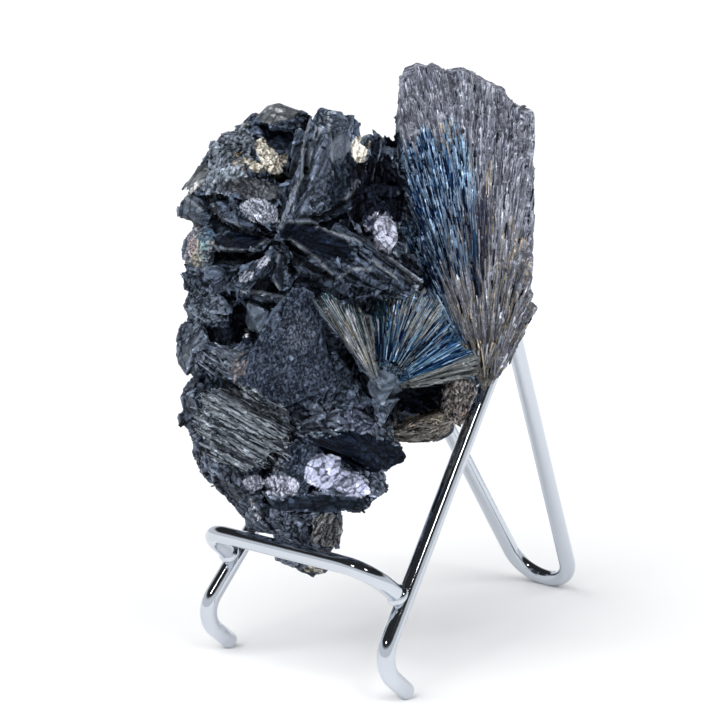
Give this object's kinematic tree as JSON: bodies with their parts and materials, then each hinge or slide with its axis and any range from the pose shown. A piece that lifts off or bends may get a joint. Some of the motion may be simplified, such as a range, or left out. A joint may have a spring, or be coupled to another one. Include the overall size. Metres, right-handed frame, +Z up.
{
  "type": "mineral specimen on a display easel",
  "caption": "Cluster of dark metallic bladed and fan-shaped crystals grown together, standing upright on a small bent-wire display easel with a welded front ledge.",
  "frame": {"origin": "centre of the bounding box's footprint, on the surface that the easel stands on", "axes": "+Z up; the easel's open front, where its ledge is, faces -Y and its rear foot is towards +Y; +X is to the right seen from the front. The specimen's own best face is turned 40.6 degrees anticlockwise, seen from above, from the easel's front."},
  "size_m": [0.0558, 0.0914, 0.1098],
  "materials": {
    "berthierite": "dark steel-grey metallic mineral, matte to bright on cleavage, with patches of blue, gold and pink tarnish",
    "chrome_wire": "polished chrome plating over round steel wire"
  },
  "bodies": {
    "root": {"specimen": "berthierite", "stand_frame": "chrome_wire", "stand_ledge": "chrome_wire"}
  },
  "joints": []
}
